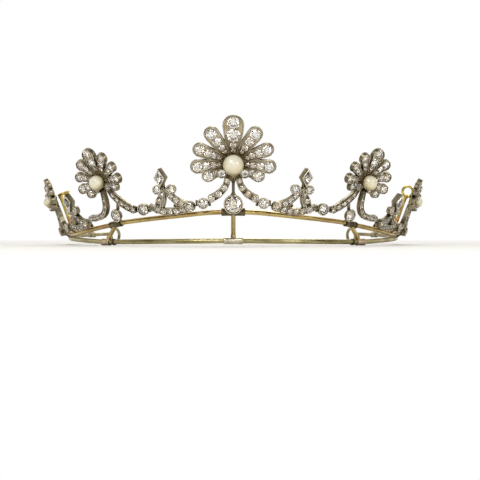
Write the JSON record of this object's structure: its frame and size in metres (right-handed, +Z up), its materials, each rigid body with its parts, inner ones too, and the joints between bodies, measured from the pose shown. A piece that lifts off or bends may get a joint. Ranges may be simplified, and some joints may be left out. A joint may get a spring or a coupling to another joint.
{
  "type": "tiara",
  "caption": "Open head ornament on a two-wire gold frame, with pearl-centred flowers, festoons and small sprigs in silver set with cut stones, and a ribbon eye at each end",
  "frame": {"origin": "middle of the box at floor height, under the lowest points of the side sleeves and ribbon eyes", "axes": "the front faces -Y, +X is the wearer's left seen from the front as the right, +Z is up, and the open end with the ribbon eyes faces +Y"},
  "size_m": [0.1666, 0.1608, 0.0514],
  "materials": {
    "antique_gold": "worn polish",
    "pale_gold": "worn polish",
    "yellow_gold": "polished",
    "silver": "tarnished silver",
    "diamond": "cut and polished",
    "pearl": "soft lustre"
  },
  "bodies": {
    "root": {"upper_wire": "antique_gold", "lower_wire": "pale_gold", "arm_left": "antique_gold", "arm_right": "antique_gold", "centre_spray": "silver", "centre_stones": "diamond", "top_stone_upper": "diamond", "top_stone_lower": "diamond", "drop_stone": "diamond", "centre_pearl": "pearl", "festoon_left": "silver", "festoon_right": "silver", "festoon_stones_left": "diamond", "festoon_stones_right": "diamond", "lozenge_left": "diamond", "lozenge_right": "diamond", "side_spray_left": "silver", "side_spray_right": "silver", "side_stones_left": "diamond", "side_stones_right": "diamond", "side_pearl_left": "pearl", "side_pearl_right": "pearl", "strut_stone_left": "diamond", "strut_stone_right": "diamond", "outer_festoon_left": "silver", "outer_festoon_right": "silver", "outer_festoon_stones_left": "diamond", "outer_festoon_stones_right": "diamond", "outer_lozenge_left": "diamond", "outer_lozenge_right": "diamond", "outer_spray_left": "silver", "outer_spray_right": "silver", "outer_stones_left": "diamond", "outer_stones_right": "diamond", "outer_pearl_left": "pearl", "outer_pearl_right": "pearl", "ring_post_left": "yellow_gold", "ring_post_right": "yellow_gold", "arm_festoon_left": "silver", "arm_festoon_right": "silver", "arm_stones_left": "diamond", "arm_stones_right": "diamond"}
  },
  "joints": []
}
